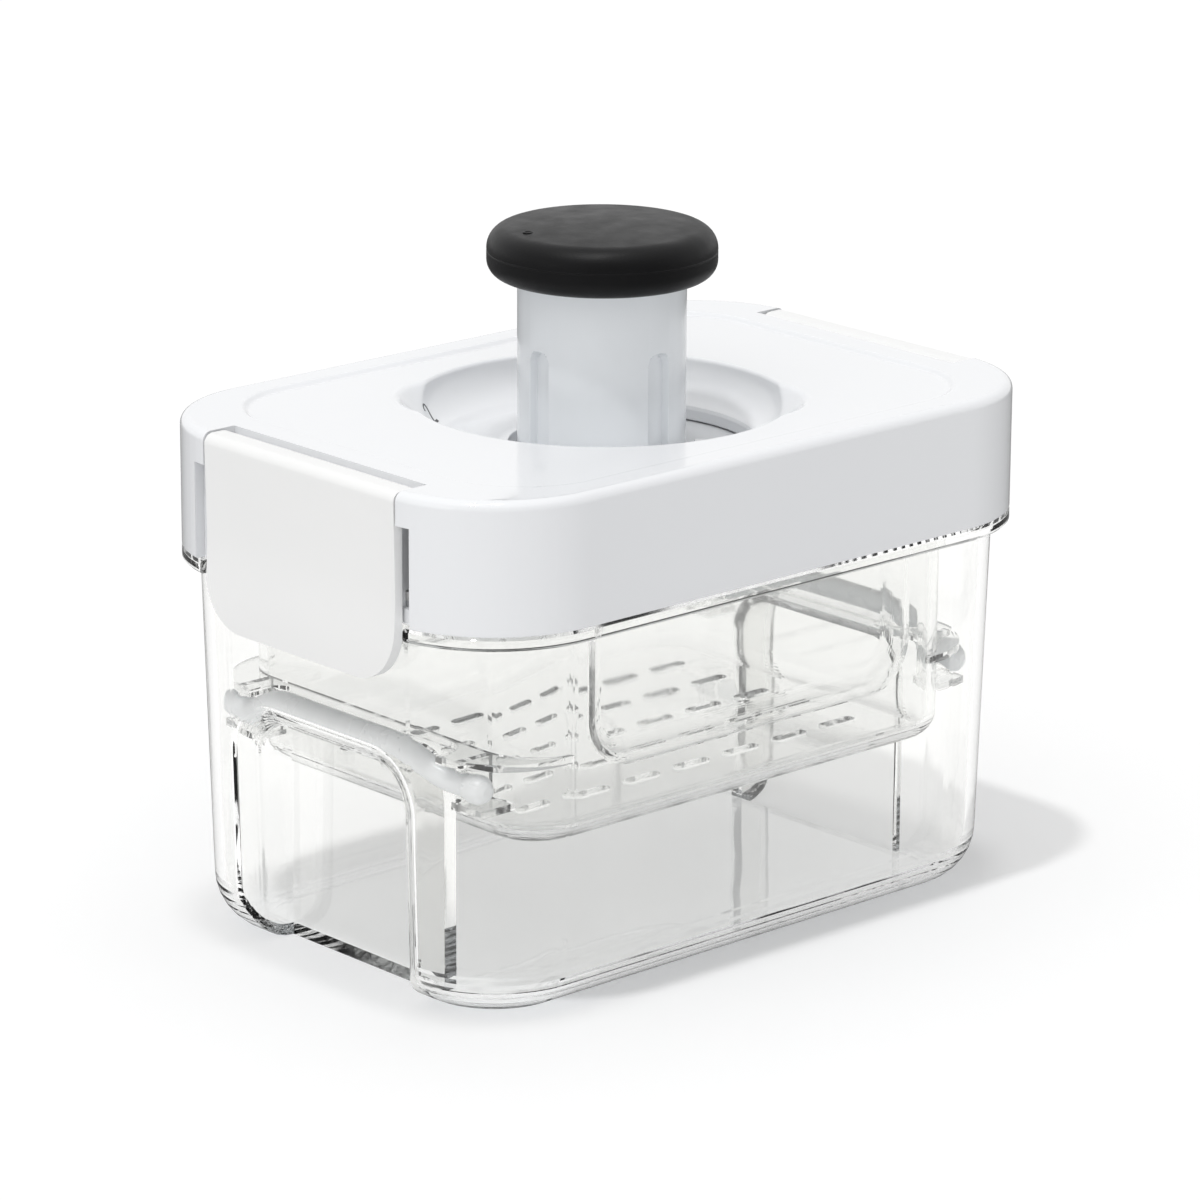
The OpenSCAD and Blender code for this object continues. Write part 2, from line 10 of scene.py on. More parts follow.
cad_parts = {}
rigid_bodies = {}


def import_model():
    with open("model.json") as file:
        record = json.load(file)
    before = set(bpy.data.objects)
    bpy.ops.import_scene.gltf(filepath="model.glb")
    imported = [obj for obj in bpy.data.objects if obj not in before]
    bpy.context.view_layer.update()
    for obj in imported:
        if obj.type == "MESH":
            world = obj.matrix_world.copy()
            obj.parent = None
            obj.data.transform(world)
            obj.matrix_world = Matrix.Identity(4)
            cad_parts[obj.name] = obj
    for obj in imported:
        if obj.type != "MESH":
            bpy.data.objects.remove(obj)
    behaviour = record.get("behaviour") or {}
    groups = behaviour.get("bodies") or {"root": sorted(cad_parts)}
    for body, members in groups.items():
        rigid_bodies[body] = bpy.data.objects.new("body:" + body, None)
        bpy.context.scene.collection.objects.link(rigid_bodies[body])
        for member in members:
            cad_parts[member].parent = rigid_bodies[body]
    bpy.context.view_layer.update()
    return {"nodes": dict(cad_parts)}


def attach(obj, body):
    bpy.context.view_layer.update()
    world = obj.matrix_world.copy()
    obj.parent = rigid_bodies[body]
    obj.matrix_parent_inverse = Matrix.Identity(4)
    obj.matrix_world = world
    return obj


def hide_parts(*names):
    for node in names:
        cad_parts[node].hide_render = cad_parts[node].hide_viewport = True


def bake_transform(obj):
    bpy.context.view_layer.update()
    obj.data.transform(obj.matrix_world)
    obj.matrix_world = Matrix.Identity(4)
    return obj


for startupObject in list(bpy.data.objects):
    bpy.data.objects.remove(startupObject)
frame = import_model()
mm = 0.001
scene = bpy.context.scene
scene.view_settings.view_transform = "Standard"
# light is mirrored many times along the clear walls before it leaves them
lightBounces = 32
scene.cycles.max_bounces = lightBounces
scene.cycles.glossy_bounces = lightBounces
scene.cycles.transmission_bounces = lightBounces
print("frame loaded:", len(frame["nodes"]), "nodes")

# the camera stands at the photograph's own place
cameraSetup = {
    "target": (-1.4, 1.3, 74.5),
    "azimuth": -42.25,
    "elevation": 16.62,
    "roll": 0.26,
    "distance": 1352.3,
    "lens": 169.8,
    "sensor": 36,
    "shift": (0.0062, -0.0005),
    "nearest": 50,
}


def makeCamera(setup):
    azimuth = math.radians(setup["azimuth"])
    elevation = math.radians(setup["elevation"])
    roll = math.radians(setup["roll"])
    flat = math.cos(elevation)
    back = Vector((math.sin(azimuth) * flat, -math.cos(azimuth) * flat, math.sin(elevation)))
    right = Vector((math.cos(azimuth), math.sin(azimuth), 0))
    up = back.cross(right)
    rolledRight = right * math.cos(roll) + up * math.sin(roll)
    rolledUp = up * math.cos(roll) - right * math.sin(roll)
    matrix = Matrix((rolledRight, rolledUp, back)).transposed().to_4x4()
    matrix.translation = (Vector(setup["target"]) + back * setup["distance"]) * mm
    lens = bpy.data.cameras.new("camera")
    lens.lens = setup["lens"]
    lens.sensor_width = setup["sensor"]
    lens.shift_x, lens.shift_y = setup["shift"]
    lens.clip_start = setup["nearest"] * mm
    camera = bpy.data.objects.new("camera", lens)
    scene.collection.objects.link(camera)
    camera.matrix_world = matrix
    scene.camera = camera
    return back


towardCamera = makeCamera(cameraSetup)
print("camera placed")


# ways to write shader nodes briefly
def startMaterial(name):
    material = bpy.data.materials.new(name)
    material.use_nodes = True
    material.node_tree.nodes.clear()
    return material, material.node_tree


def addNode(tree, kind, **values):
    node = tree.nodes.new("ShaderNode" + kind)
    for key, value in values.items():
        if hasattr(node, key):
            setattr(node, key, value)
        else:
            node.inputs[key.replace("_", " ")].default_value = value
    return node


def addMath(tree, operation, *values):
    node = addNode(tree, "Math", operation=operation)
    for place, value in zip(node.inputs, values):
        if isinstance(value, (int, float)):
            place.default_value = value
        else:
            tree.links.new(value, place)
    return node.outputs[0]


# most of the noise lies between these two levels, which are spread over the wanted range
noiseLevels = (0.3, 0.7)
noiseRoughness = 0.55


# noise over the object's own coordinates, mapped to a range
def noiseRange(tree, scale, low, high, detail=3.0, stretch=(1, 1, 1)):
    place = addNode(tree, "TexCoord")
    mapping = addNode(tree, "Mapping")
    mapping.inputs["Scale"].default_value = stretch
    noise = addNode(tree, "TexNoise", Scale=scale, Detail=detail, Roughness=noiseRoughness)
    spread = addNode(tree, "MapRange")
    spread.inputs["From Min"].default_value = noiseLevels[0]
    spread.inputs["From Max"].default_value = noiseLevels[1]
    spread.inputs["To Min"].default_value = low
    spread.inputs["To Max"].default_value = high
    tree.links.new(place.outputs["Object"], mapping.inputs["Vector"])
    tree.links.new(mapping.outputs["Vector"], noise.inputs["Vector"])
    tree.links.new(noise.outputs["Fac"], spread.inputs["Value"])
    return spread.outputs["Result"]


# where a mix node keeps its two colours and its mixed colour
mixSockets = {"first": 6, "second": 7, "result": 2}


def twoTone(tree, factor, dark, light):
    mix = addNode(tree, "Mix", data_type="RGBA")
    mix.inputs[mixSockets["first"]].default_value = (*dark, 1)
    mix.inputs[mixSockets["second"]].default_value = (*light, 1)
    tree.links.new(factor, mix.inputs["Factor"])
    return mix.outputs[mixSockets["result"]]


def addBump(tree, height, distance):
    bump = addNode(tree, "Bump", Strength=1.0, Distance=distance * mm)
    tree.links.new(height, bump.inputs["Height"])
    return bump.outputs["Normal"]


# what a moulded finish has unless it says otherwise
plainFinish = {"ior": 1.5, "metallic": 0.0, "specular": 0.5, "coat": 0.0, "coatRoughness": 0.08}


# moulded plastic: two close tones, uneven gloss and a fine skin
def mouldedPlastic(name, finish):
    look = {**plainFinish, **finish}
    material, tree = startMaterial(name)
    output = addNode(tree, "OutputMaterial")
    shader = addNode(tree, "BsdfPrincipled", IOR=look["ior"], Metallic=look["metallic"])
    shader.inputs["Specular IOR Level"].default_value = look["specular"]
    shader.inputs["Coat Weight"].default_value = look["coat"]
    shader.inputs["Coat Roughness"].default_value = look["coatRoughness"]
    tone = noiseRange(tree, look["toneScale"], 0.0, 1.0)
    tree.links.new(twoTone(tree, tone, look["dark"], look["light"]), shader.inputs["Base Color"])
    gloss = noiseRange(tree, look["glossScale"], *look["roughness"])
    tree.links.new(gloss, shader.inputs["Roughness"])
    skin = noiseRange(tree, look["skinScale"], 0.0, 1.0, detail=4.0)
    tree.links.new(addBump(tree, skin, look["skinDepth"]), shader.inputs["Normal"])
    tree.links.new(shader.outputs["BSDF"], output.inputs["Surface"])
    return material


# clear plastic: bends light, and lets lamps and soft bounced light through
def clearPlastic(name, look):
    material, tree = startMaterial(name)
    output = addNode(tree, "OutputMaterial")
    shader = addNode(tree, "BsdfPrincipled", IOR=look["ior"])
    shader.inputs["Transmission Weight"].default_value = look["transmission"]
    tone = noiseRange(tree, look["toneScale"], 0.0, 1.0)
    tree.links.new(twoTone(tree, tone, look["dark"], look["light"]), shader.inputs["Base Color"])
    gloss = noiseRange(tree, look["glossScale"], *look["roughness"])
    tree.links.new(gloss, shader.inputs["Roughness"])
    flow = noiseRange(tree, look["flowScale"], 0.0, 1.0, 2.0, look["flowStretch"])
    tree.links.new(addBump(tree, flow, look["flowDepth"]), shader.inputs["Normal"])
    passing = addNode(tree, "BsdfTransparent", Color=(*look["shadowTint"], 1))
    path = addNode(tree, "LightPath")
    passes = addMath(tree, "MAXIMUM", path.outputs["Is Shadow Ray"], path.outputs["Is Diffuse Ray"])
    mix = addNode(tree, "MixShader")
    tree.links.new(passes, mix.inputs["Fac"])
    tree.links.new(shader.outputs["BSDF"], mix.inputs[1])
    tree.links.new(passing.outputs["BSDF"], mix.inputs[2])
    tree.links.new(mix.outputs["Shader"], output.inputs["Surface"])
    return material


finishes = {
    "glossWhite": {
        "dark": (0.845, 0.855, 0.875), "light": (0.86, 0.87, 0.885), "toneScale": 9,
        "roughness": (0.06, 0.1), "glossScale": 26, "skinScale": 420, "skinDepth": 0.002,
        "coat": 0.3, "coatRoughness": 0.04,
    },
    "columnWhite": {
        "dark": (0.83, 0.855, 0.88), "light": (0.85, 0.875, 0.895), "toneScale": 14,
        "roughness": (0.14, 0.22), "glossScale": 40, "skinScale": 500, "skinDepth": 0.002,
        "coat": 0.2,
    },
    "satinWhite": {
        "dark": (0.875, 0.877, 0.872), "light": (0.9, 0.9, 0.895), "toneScale": 12,
        "roughness": (0.36, 0.44), "glossScale": 60, "skinScale": 1500, "skinDepth": 0.006,
    },
    "innerWhite": {
        "dark": (0.79, 0.79, 0.775), "light": (0.82, 0.82, 0.805), "toneScale": 12,
        "roughness": (0.4, 0.5), "glossScale": 60, "skinScale": 1100, "skinDepth": 0.006,
    },
    "collarGrey": {
        "dark": (0.74, 0.755, 0.77), "light": (0.77, 0.785, 0.8), "toneScale": 18,
        "roughness": (0.32, 0.42), "glossScale": 70, "skinScale": 1200, "skinDepth": 0.005,
    },
    "softBlack": {
        "dark": (0.006, 0.006, 0.0065), "light": (0.009, 0.009, 0.0095), "toneScale": 30,
        "roughness": (0.36, 0.46), "glossScale": 160, "skinScale": 2300, "skinDepth": 0.018,
        "specular": 0.14,
    },
    "markGrey": {
        "dark": (0.055, 0.06, 0.065), "light": (0.075, 0.08, 0.085), "toneScale": 60,
        "roughness": (0.4, 0.5), "glossScale": 120, "skinScale": 900, "skinDepth": 0.004,
    },
    "steel": {
        "dark": (0.56, 0.565, 0.57), "light": (0.66, 0.665, 0.67), "toneScale": 80,
        "roughness": (0.22, 0.36), "glossScale": 300, "skinScale": 1600, "skinDepth": 0.003,
        "metallic": 1.0,
    },
    "sealGrey": {
        "dark": (0.62, 0.64, 0.65), "light": (0.68, 0.7, 0.71), "toneScale": 40,
        "roughness": (0.42, 0.52), "glossScale": 90, "skinScale": 1000, "skinDepth": 0.005,
    },
}
clearFinishes = {
    "clearContainer": {
        "dark": (0.945, 0.945, 0.937), "light": (0.968, 0.968, 0.96), "toneScale": 8,
        "roughness": (0.0, 0.03), "glossScale": 34, "flowScale": 16, "flowStretch": (1, 1, 0.4),
        "flowDepth": 0.12, "ior": 1.52, "transmission": 1.0, "shadowTint": (0.97, 0.975, 0.98),
    },
    "clearBasket": {
        "dark": (0.942, 0.944, 0.938), "light": (0.965, 0.967, 0.961), "toneScale": 10,
        "roughness": (0.01, 0.06), "glossScale": 40, "flowScale": 22, "flowStretch": (1, 1, 0.5),
        "flowDepth": 0.05, "ior": 1.52, "transmission": 1.0, "shadowTint": (0.965, 0.97, 0.975),
    },
    "silicone": {
        "dark": (0.95, 0.955, 0.95), "light": (0.97, 0.975, 0.97), "toneScale": 60,
        "roughness": (0.24, 0.34), "glossScale": 90, "flowScale": 180, "flowStretch": (1, 1, 1),
        "flowDepth": 0.02, "ior": 1.41, "transmission": 0.15, "shadowTint": (0.86, 0.87, 0.87),
    },
}
materials = {name: mouldedPlastic(name, look) for name, look in finishes.items()}
for name, look in clearFinishes.items():
    materials[name] = clearPlastic(name, look)
print("materials made:", len(materials))


samePoint = 0.0005  # points nearer than this are one


# ways to build meshes; every point is in millimetres
def newPiece(name, points, faces):
    mesh = bpy.data.meshes.new(name)
    mesh.from_pydata([Vector(point) * mm for point in points], [], faces)
    work = bmesh.new()
    work.from_mesh(mesh)
    bmesh.ops.remove_doubles(work, verts=work.verts, dist=samePoint * mm)
    bmesh.ops.dissolve_degenerate(work, edges=work.edges, dist=samePoint * mm)
    bmesh.ops.recalc_face_normals(work, faces=work.faces)
    work.to_mesh(mesh)
    work.free()
    piece = bpy.data.objects.new(name, mesh)
    scene.collection.objects.link(piece)
    return piece


# rings of equal length joined side by side, closed on themselves or capped
def joinRings(name, rings, closed=False):
    count = len(rings[0])
    points = [point for ring in rings for point in ring]
    faces = []
    for i in range(len(rings) if closed else len(rings) - 1):
        here = i * count
        there = (i + 1) % len(rings) * count
        for k in range(count):
            after = (k + 1) % count
            faces.append((here + k, here + after, there + after, there + k))
    if not closed:
        faces.append(tuple(reversed(range(count))))
        faces.append(tuple(range(len(points) - count, len(points))))
    return newPiece(name, points, faces)


# a closed (radius, height) profile turned about Z
def turnProfile(name, profile, steps=128):
    rings = []
    for k in range(steps):
        angle = 2 * math.pi * k / steps
        rings.append([(r * math.cos(angle), r * math.sin(angle), z) for r, z in profile])
    return joinRings(name, rings, closed=True)


def arcPoints(x, z, radius, first, last, steps):
    points = []
    for i in range(steps + 1):
        angle = math.radians(first + (last - first) * i / steps)
        points.append((x + radius * math.cos(angle), z + radius * math.sin(angle)))
    return points


def smoothCurve(values, steps):
    count = len(values)
    found = []
    for i in range(count - 1):
        p0, p1, p2, p3 = (values[min(max(i + k, 0), count - 1)] for k in (-1, 0, 1, 2))
        for j in range(steps):
            t = j / steps
            found.append(0.5 * (2 * p1 + (p2 - p0) * t + (2 * p0 - 5 * p1 + 4 * p2 - p3) * t * t
                                + (3 * p1 - p0 - 3 * p2 + p3) * t * t * t))
    return found + [values[-1]]


# an outline in (X, Z) pushed along Y, or in (Y, Z) along X
def pushOutline(name, outline, low, high, alongX=False):
    rings = []
    for depth in (low, high):
        if alongX:
            rings.append([(depth, a, b) for a, b in outline])
        else:
            rings.append([(a, depth, b) for a, b in outline])
    return joinRings(name, rings)


def boxPiece(name, low, high):
    outline = [(low[0], low[2]), (high[0], low[2]), (high[0], high[2]), (low[0], high[2])]
    return pushOutline(name, outline, low[1], high[1])


def applyModifiers(piece):
    graph = bpy.context.evaluated_depsgraph_get()
    finished = bpy.data.meshes.new_from_object(piece.evaluated_get(graph))
    piece.modifiers.clear()
    piece.data = finished


def combine(piece, tool, operation):
    modifier = piece.modifiers.new("combine", "BOOLEAN")
    modifier.operation = operation
    modifier.solver = "EXACT"
    modifier.object = tool
    applyModifiers(piece)
    bpy.data.objects.remove(tool)


# rounds the edges that turn by more than an angle
def roundEdges(piece, width, angle=38):
    bevel = piece.modifiers.new("roundEdges", "BEVEL")
    bevel.width = width * mm
    bevel.segments = 4
    bevel.limit_method = "ANGLE"
    bevel.angle_limit = math.radians(angle)
    bevel.use_clamp_overlap = True
    applyModifiers(piece)


def smoothShade(piece, angle=34):
    piece.data.shade_smooth()
    piece.data.set_sharp_from_angle(angle=math.radians(angle))
    even = piece.modifiers.new("evenNormals", "WEIGHTED_NORMAL")
    even.keep_sharp = True


def dress(piece, materialName, body, slotName, *replaced):
    piece.data.materials.clear()
    piece.data.materials.append(materials[materialName])
    smoothShade(piece)
    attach(piece, body)
    if replaced:
        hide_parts(*replaced)


# the nodes whose shape is right keep it and take a finish
nodeFinishes = {
    "outer_container": "clearContainer",
    "inner_basket": "clearBasket",
    "lid_liner": "innerWhite",
    "lid_seal": "sealGrey",
    "hinge_pin_left": "steel",
    "hinge_pin_right": "steel",
    "twist_collar": "collarGrey",
    "collar_retainer": "innerWhite",
    "collar_screws": "steel",
    "column_foot": "innerWhite",
    "knob_screw": "steel",
    "press_plate": "innerWhite",
    "swivel_ring": "innerWhite",
    "swivel_screws": "steel",
}
for nodeName, finish in nodeFinishes.items():
    frame["nodes"][nodeName].material_slots[0].material = materials[finish]
print("nodes finished:", len(nodeFinishes))

# lid cover
lid = {
    "half": (93, 63.25), "corner": 31.5, "low": 94.1, "high": 125.3, "topRound": 2.3,
    "outside": ((0.45, 94.1), (0.13, 94.23), (0, 94.55), (0, 100), (0, 112)),  # (inset, height)
    "wall": 2.6, "under": 121.9, "border": 1.2,
    "panelHalf": (76, 54.6), "panelCorner": 23, "panelHigh": 124.4, "panelSlope": 0.9, "panelSpare": 1,
    "wellArcMiddle": 34, "wellDepth": 10.4, "floorThick": 2.9, "lip": 0.9, "lipFlat": 0.8,
    "bowlTo": 67.4, "bowlRings": 18, "underFlat": 37.2, "underReach": 37.4, "underArc": (75, 64.4),
    "hole": 22, "lobe": 36.5, "lobeHalfAngle": 38, "lobeSlope": 0.7, "edgeRound": 0.5,
    "notchAngle": 137, "notchMiddle": 28.35, "notchLow": (12, 115.5), "notchHigh": (20.15, 124.5),
    "notchSoft": 0.4, "notchStart": 0.5,
    "columnStep": 2.0, "columnLeast": 0.12, "notchColumns": (0.8, 34),  # degrees
    "fineColumns": ((17, 0.75, 42), (37.3, 0.2, 8)),  # (first angle, step, how many)
    # at each end: (x, half y, high z), and for the slots (x, near y, far y, low z, high z)
    "recess": (89.6, 38.2, 117.5), "pocket": (83.6, 34.2, 116.7),
    "slot": (84.2, 32.2, 34.9, 97.5, 116.4),
    # the walls behind them: (x, low z) of each, and where they all end in x, y and z
    "backing": ((88.3, 94.1), (87.2, 101.2), (81.3, 114.4)), "backingEnd": (91.5, 40.4, 122.5),
    "cutEnd": 97, "slotEnd": 91, "recessLow": 93, "pocketHigh": 130,
}


# the larger of two values, with the crease where they meet rounded
def softMax(a, b, soft):
    overlap = max(soft - abs(a - b), 0) / soft
    return max(a, b) + overlap * overlap * soft / 4


# distance from the middle to a rounded rectangle, at an angle
def rectangleReach(angle, half, corner):
    tiny = 1e-9
    c = abs(math.cos(angle))
    s = abs(math.sin(angle))
    if c > tiny and half[0] * s / c <= half[1] - corner:
        return half[0] / c
    if s > tiny and half[1] * c / s <= half[0] - corner:
        return half[1] / s
    x = half[0] - corner
    y = half[1] - corner
    along = x * c + y * s
    return along + math.sqrt(along * along - x * x - y * y + corner * corner)


# how far the well's wall is from the middle, with the scoop of the nearer notch
def wellReach(angle, z, extra=0.0):
    depth = lid["wellDepth"] + extra
    bowl = lid["wellArcMiddle"] + math.sqrt(max(depth ** 2 - (lid["panelHigh"] - z) ** 2, 0))
    lowR, lowZ = lid["notchLow"]
    highR, highZ = lid["notchHigh"]
    rise = min(max((z - lowZ + extra + lid["notchStart"]) / lid["notchStart"], 0), 1)
    cone = lowR + (highR - lowR) * (z - lowZ) / (highZ - lowZ) + extra
    turn = angle - math.radians(lid["notchAngle"])
    side = lid["notchMiddle"] * math.sin(turn)
    if rise == 0 or abs(side) >= cone:
        return bowl
    scoop = lid["notchMiddle"] * abs(math.cos(turn)) + math.sqrt(cone ** 2 - side ** 2)
    return bowl + rise * (softMax(bowl, scoop, lid["notchSoft"]) - bowl)


def floorHeight(reach, extra=0.0):
    out = max(reach - lid["wellArcMiddle"], 0)
    depth = lid["wellDepth"] + extra
    return lid["panelHigh"] - math.sqrt(max(depth ** 2 - out ** 2, 0))


# where the well's floor ends: at the hole, or further out in a lobe
def openReach(angle):
    turn = abs(math.degrees(math.asin(math.sin(angle))))
    share = (lid["lobeHalfAngle"] + lid["lobeSlope"] - turn) / (2 * lid["lobeSlope"])
    return lid["hole"] + (lid["lobe"] - lid["hole"]) * min(max(share, 0), 1)


# the mesh columns' angles, closer together at the corners, the lobes' sides and the notches
def lidAngles():
    wanted = [lid["columnStep"] * i for i in range(round(360 / lid["columnStep"]))]
    notchStep, notchCount = lid["notchColumns"]
    for end in (0, 180):
        for first, step, count in lid["fineColumns"]:
            wanted += [end + side * (first + step * i) for side in (-1, 1) for i in range(count)]
        wanted += [end + lid["notchAngle"] + notchStep * i for i in range(-notchCount, notchCount + 1)]
    found = []
    for angle in sorted(round(a % 360, 3) for a in wanted):
        if not found or angle - found[-1] > lid["columnLeast"]:
            found.append(angle)
    return [math.radians(a) for a in found]


def buildLid():
    angles = lidAngles()
    rings = []

    def addRing(reach, height):
        rings.append([])
        for angle in angles:
            r = reach(angle)
            z = height(r) if callable(height) else height
            rings[-1].append((r * math.cos(angle), r * math.sin(angle), z))

    def addOutline(half, corner, inset, height):
        shrunk = (half[0] - inset, half[1] - inset)
        addRing(lambda angle: rectangleReach(angle, shrunk, corner - inset), height)

    def addWallRing(inset, height):
        addOutline(lid["half"], lid["corner"], inset, height)

    def addPanelRing(inset, height):
        addOutline(lid["panelHalf"], lid["panelCorner"], inset, height)

    top = lid["high"]
    panel = lid["panelHigh"]
    step = top - panel
    edge = lid["topRound"]
    # outside wall, its rounded top edge and the border
    for inset, z in (*lid["outside"], (0, top - edge)):
        addWallRing(inset, z)
    for x, z in arcPoints(0, top - edge, edge, 12, 90, 7):
        addWallRing(edge - x, z)
    addWallRing(edge + lid["border"], top)
    # soft slope down to the panel
    slope = lid["panelSlope"]
    addPanelRing(-slope - lid["panelSpare"], top)
    for i in range(9):
        share = i / 8
        drop = share * share * (3 - 2 * share)
        addPanelRing(slope * (2 * share - 1), top - step * drop)
    addPanelRing(slope + lid["panelSpare"], panel)
    lip = lid["lip"]
    for spare in (lid["lipFlat"], 0.0):
        addRing(lambda angle, s=spare: wellReach(angle, panel) + lip + s, panel)
    # the well: lip, wall, bowl and floor
    for i in range(1, 7):
        turn = math.radians(90 - 15 * i)
        z = panel - lip + lip * math.sin(turn)
        out = lip * (1 - math.cos(turn))
        addRing(lambda angle, z=z, out=out: wellReach(angle, z) + out, z)
    depth = lid["wellDepth"]
    bowlFrom = math.degrees(math.asin(lip / depth))
    bowlTo = lid["bowlTo"]
    for i in range(1, lid["bowlRings"] + 1):
        turn = math.radians(bowlFrom + (bowlTo - bowlFrom) * i / lid["bowlRings"])
        z = panel - depth * math.sin(turn)
        addRing(lambda angle, z=z: wellReach(angle, z), z)
    bowlReach = lid["wellArcMiddle"] + depth * math.cos(math.radians(bowlTo))
    soft = lid["edgeRound"]
    for i in range(1, 9):
        share = i / 8
        addRing(lambda a, s=share: bowlReach + (openReach(a) + soft - bowlReach) * s, floorHeight)
    # the floor's edge at the hole and the lobes, and the underside
    thick = lid["floorThick"]
    for inset, drop in ((0.15, 0.14), (0.0, soft), (0.0, thick - 0.3), (0.3, thick)):
        addRing(lambda a, s=inset: openReach(a) + s, lambda r, d=drop: floorHeight(lid["hole"]) - d)
    for share in (0.5, 1.0):
        addRing(lambda a, s=share: openReach(a) + (lid["underFlat"] - openReach(a)) * s,
                lambda r: floorHeight(r, thick))
    underFrom, underTurn = lid["underArc"]
    for i in range(1, 9):
        turn = math.radians(underFrom - underTurn * i / 8)
        z = panel - (depth + thick) * math.sin(turn)
        addRing(lambda a, z=z: max(wellReach(a, z, thick), lid["underReach"]), z)
    under = lid["under"]
    wall = lid["wall"]
    low = lid["low"]
    for inset, z in ((1.5, under), (0.45, under - 0.45), (0, under - 1.5), (0, low + 0.3), (0.3, low)):
        addWallRing(wall + inset, z)
    cover = joinRings("lid_cover_shell", rings, closed=True)
    print("lid shell rings:", len(rings), "columns:", len(angles))

    def endBlock(side, low, high, operation):
        near, far = sorted((side * low[0], side * high[0]))
        block = boxPiece("block", (near, low[1], low[2]), (far, high[1], high[2]))
        combine(cover, block, operation)

    recessX, recessY, recessZ = lid["recess"]
    pocketX, pocketY, pocketZ = lid["pocket"]
    slotX, slotNear, slotFar, slotLow, slotHigh = lid["slot"]
    endX, endY, endZ = lid["backingEnd"]
    cutX = lid["cutEnd"]
    for side in (-1, 1):
        for x, z in lid["backing"]:
            endBlock(side, (x, -endY, z), (endX, endY, endZ), "UNION")
        endBlock(side, (recessX, -recessY, lid["recessLow"]), (cutX, recessY, recessZ), "DIFFERENCE")
        endBlock(side, (pocketX, -pocketY, pocketZ), (cutX, pocketY, lid["pocketHigh"]), "DIFFERENCE")
        for end in (-1, 1):
            near, far = sorted((end * slotNear, end * slotFar))
            endBlock(side, (slotX, near, slotLow), (lid["slotEnd"], far, slotHigh), "DIFFERENCE")
    dress(cover, "glossWhite", "container_and_lid", "gloss_white", "lid_cover")


buildLid()
print("lid built")

# latches: a leaf with a rolled top over its knuckle, slightly flared at the bottom
latch = {
    "hinge": (87.8, 121.1), "knuckle": 3.9, "pin": 1.56, "halfWidth": 33.6, "low": 79.4,
    "back": 90.4, "face": 93.0,
    "faceCurve": [(93.39, 79.4), (93.385, 82), (93.33, 85), (93.2, 88), (93.02, 91), (92.84, 94),
                  (92.7, 97), (92.62, 100), (92.62, 103), (92.68, 107), (92.78, 112), (92.9, 117.5)],
    "topRound": 2.4, "corner": 13, "edge": 0.75,
    # the ledge that grips the rim: its outline from the leaf's back and the rim's underside
    "rim": 90.8, "hookHalf": 22,
    "hook": [(0.6, -5.6), (-1.0, -2.6), (-1.2, -2.2), (-1.2, -0.6), (-1.0, -0.4), (0.6, -0.4)],
    "outlineHigh": 140, "outlineReach": (80, 97), "leafSpare": 2, "boreSpare": 5,
}


def latchProfile():
    hingeX, hingeZ = latch["hinge"]
    top = hingeZ + latch["knuckle"]
    face = latch["face"]
    low = latch["low"]
    curve = smoothCurve([Vector(point) for point in latch["faceCurve"]], 3)
    profile = [(latch["back"], low)] + [tuple(point) for point in curve]
    r = latch["topRound"]
    profile += arcPoints(face - r, top - r, r, 0, 90, 9)
    meeting = math.degrees(math.acos((latch["back"] - hingeX) / latch["knuckle"]))
    profile += arcPoints(hingeX, hingeZ, latch["knuckle"], 90, 360 - meeting, 26)
    return profile


def latchOutline():
    half = latch["halfWidth"]
    r = latch["corner"]
    low = latch["low"]
    high = latch["outlineHigh"]
    outline = arcPoints(half - r, low + r, r, -90, 0, 20)
    outline += [(half, high), (-half, high)]
    outline += arcPoints(-half + r, low + r, r, 180, 270, 20)
    return outline


def buildLatch(name, side, body, replaced):
    wide = latch["halfWidth"] + latch["leafSpare"]
    leaf = pushOutline(name, [(side * x, z) for x, z in latchProfile()], -wide, wide)
    nearX, farX = latch["outlineReach"]
    outline = pushOutline("outline", latchOutline(), side * nearX, side * farX, True)
    combine(leaf, outline, "INTERSECT")
    roundEdges(leaf, latch["edge"])
    hookHalf = latch["hookHalf"]
    hook = [(side * (latch["back"] + x), latch["rim"] + z) for x, z in latch["hook"]]
    combine(leaf, pushOutline("ledge", hook, -hookHalf, hookHalf), "UNION")
    hingeX, hingeZ = latch["hinge"]
    bore = [(side * x, z) for x, z in arcPoints(hingeX, hingeZ, latch["pin"], 0, 345, 23)]
    wide = latch["halfWidth"] + latch["boreSpare"]
    combine(leaf, pushOutline("bore", bore, -wide, wide), "DIFFERENCE")
    dress(leaf, "satinWhite", body, "latch_white", replaced)


buildLatch("latch_leaf_left", -1, "left_latch", "latch_left")
buildLatch("latch_leaf_right", 1, "right_latch", "latch_right")
print("latches built")

# knob: soft cap with a crown and a parting line over a hub, and an index mark
knob = {
    "radius": 27.25, "low": 154, "high": 166, "crown": 1.0, "lowRound": 4.2, "topRound": 5.2,
    "inside": 22.5, "insideTop": 163.85, "lowEdge": (0.15, 0.2), "partingHeight": 160.4,
    "parting": ((0, -0.3), (0.03, -0.16), (0.14, 0), (0.03, 0.16), (0, 0.3)),  # (depth, height)
    "coreTop": 163.8, "coreLow": 154.3, "coreGap": 0.1, "coreEdge": 0.4,
    "stem": 16.3, "stemLow": 143.2, "screwHole": 1.75, "screwTop": 159,
    "dotAngle": 165, "dotReach": 19.5, "dotRadius": 1.25, "dotHeight": 0.2, "dotSunk": 0.4,
    "dotShape": ((1, 0.5), (0.9, 0.9), (0.78, 1), (0.62, 0.7)),  # shares of its radius and height
}


